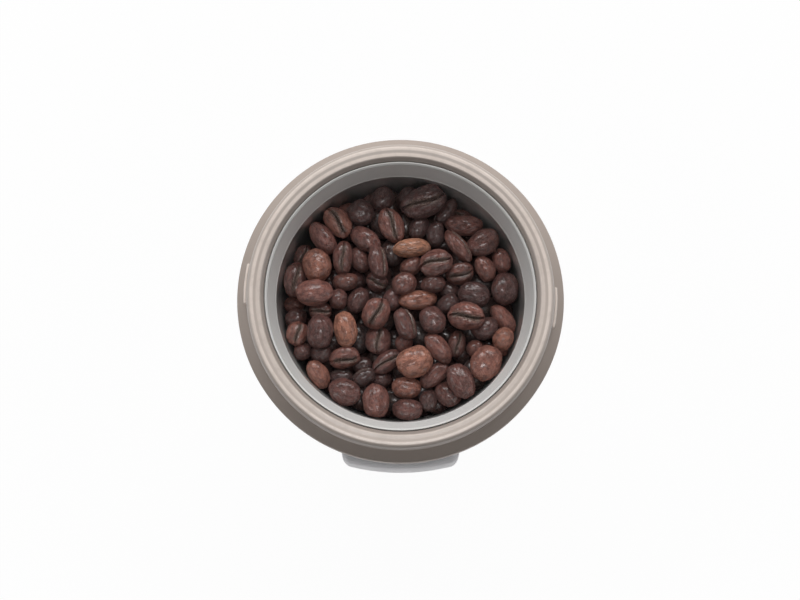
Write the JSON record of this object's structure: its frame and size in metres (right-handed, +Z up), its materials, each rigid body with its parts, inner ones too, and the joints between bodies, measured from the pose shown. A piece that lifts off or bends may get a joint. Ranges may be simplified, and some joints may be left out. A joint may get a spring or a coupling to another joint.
{
  "type": "electric spice grinder",
  "caption": "Upright blade grinder: open steel bowl under a plain bayonet collar, tapered housing with motor, and a wide press bar at the front.",
  "frame": {"origin": "middle of the foot print, on the surface that the grinder stands on", "axes": "+Z up along the motor shaft; the press bar faces -Y; +X to the right of someone facing the press bar"},
  "size_m": [0.1, 0.1001, 0.15],
  "materials": {
    "ring_plastic": "satin taupe",
    "bowl_steel": "spun, satin",
    "blade_steel": "ground",
    "shaft_steel": "ground",
    "screw_steel": "zinc plated",
    "black_rubber": "matt",
    "housing_plastic": "white, gloss",
    "button_plastic": "white, gloss",
    "inner_plastic": "moulded grey",
    "base_plastic": "moulded black, fine grain",
    "block_plastic": "moulded",
    "switch_plastic": "moulded",
    "plunger_plastic": "moulded",
    "capacitor_plastic": "potted",
    "bracket_metal": "cast",
    "lamination": "stacked sheet, lacquered",
    "enamelled_wire": "enamelled copper wire",
    "copper": "turned copper",
    "brass": "plain",
    "carbon": "pressed carbon",
    "brown_lead": "insulation",
    "blue_lead": "insulation",
    "red_lead": "insulation"
  },
  "bodies": {
    "housing": {"collar_ring": "ring_plastic", "grinding_bowl": "bowl_steel", "bowl_gasket": "black_rubber", "body_shell": "housing_plastic", "foot_band": "housing_plastic", "motor_deck": "inner_plastic", "deck_screws": "screw_steel", "base_plate": "base_plastic", "base_screws": "screw_steel", "rubber_feet": "black_rubber", "cord_gland": "black_rubber", "gland_nut": "inner_plastic", "shaft_seal": "black_rubber", "upper_bush": "brass", "lower_bush": "brass", "upper_bracket": "bracket_metal", "lower_bracket": "base_plastic", "stator_core": "lamination", "stator_coils": "enamelled_wire", "brush_holders": "brass", "carbon_brushes": "carbon", "brush_springs": "screw_steel", "motor_bolts": "screw_steel", "motor_mounts": "black_rubber", "mount_screws": "screw_steel", "button_frame": "housing_plastic", "button_springs": "screw_steel", "switch_bracket": "inner_plastic", "bracket_screws": "screw_steel", "microswitch": "switch_plastic", "switch_terminals": "brass", "switch_screws": "screw_steel", "terminal_block": "block_plastic", "capacitor": "capacitor_plastic", "thermal_cutout": "bracket_metal", "live_lead": "brown_lead", "neutral_lead": "blue_lead", "motor_leads": "red_lead"},
    "rotor": {"motor_shaft": "shaft_steel", "rotor_core": "lamination", "rotor_windings": "enamelled_wire", "commutator": "copper", "cooling_fan": "inner_plastic", "thrust_washers": "brass", "blade": "blade_steel", "blade_spacer": "brass", "blade_nut": "blade_steel"},
    "press_bar": {"start_button": "button_plastic"},
    "lever": {"switch_lever": "shaft_steel"},
    "plunger": {"switch_plunger": "plunger_plastic"}
  },
  "joints": [
    {"name": "rotor_spin", "type": "hinge", "parent": "housing", "child": "rotor", "pos_m": [0, 0, 0.055], "axis": [0, 0, 1], "continuous": true},
    {"name": "press_slide", "type": "slide", "parent": "housing", "child": "press_bar", "axis": [0, 1, 0], "range_m": [0, 0.003], "stiffness_N_per_m": 900, "springref_m": -0.002, "deforming": ["button_springs"]},
    {"name": "lever_tilt", "type": "hinge", "parent": "housing", "child": "lever", "pos_m": [-0.0085, -0.03798, 0.07], "axis": [0, 0, 1], "range_deg": [0, 10.2]},
    {"name": "plunger_slide", "type": "slide", "parent": "housing", "child": "plunger", "axis": [0, 1, 0], "range_m": [0, 0.00088]}
  ],
  "couplings": [
    {"joint": "lever_tilt", "follows": "press_slide", "rad_per_m": 58.8},
    {"joint": "plunger_slide", "follows": "press_slide", "ratio": 0.29}
  ]
}
